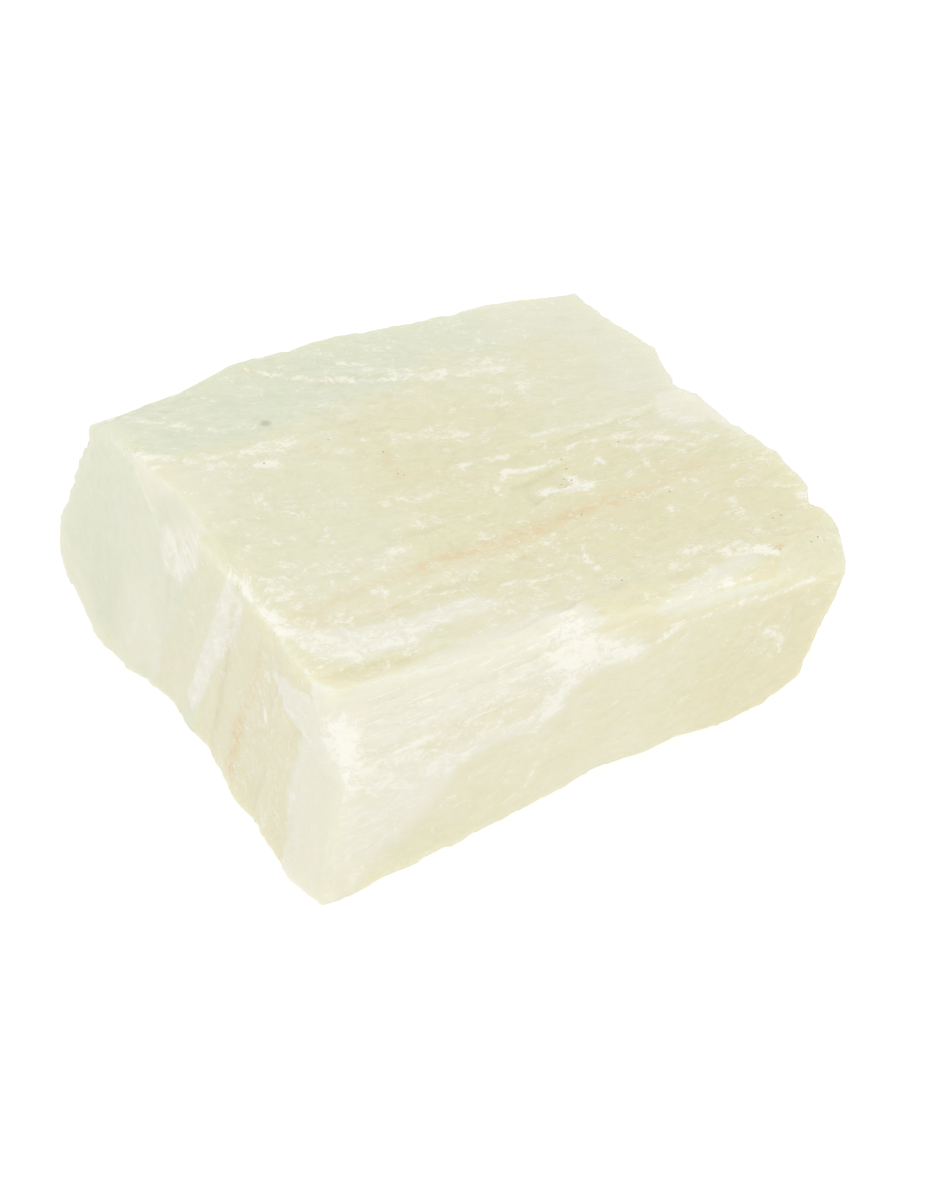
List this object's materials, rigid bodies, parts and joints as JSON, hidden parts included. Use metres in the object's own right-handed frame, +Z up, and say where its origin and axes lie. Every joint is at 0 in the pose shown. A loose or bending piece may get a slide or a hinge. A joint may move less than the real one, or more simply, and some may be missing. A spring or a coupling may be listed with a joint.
{
  "type": "raw calcite",
  "caption": "Natural hand-sized block of milky pale green calcite with flat cleavage faces, stepped ledges and a scalloped broken end, resting on its flat base.",
  "frame": {"origin": "under the middle of the block's box, on the surface that the block rests on", "axes": "+Z up, +X along the layers and the long front edge, -Y towards the front face, -X towards the smooth left face"},
  "size_m": [0.0886, 0.0934, 0.041],
  "materials": {
    "calcite": "waxy, milky and translucent, with crushed white flakes and a rusty stain"
  },
  "bodies": {
    "root": {"calcite": "calcite"}
  },
  "joints": []
}
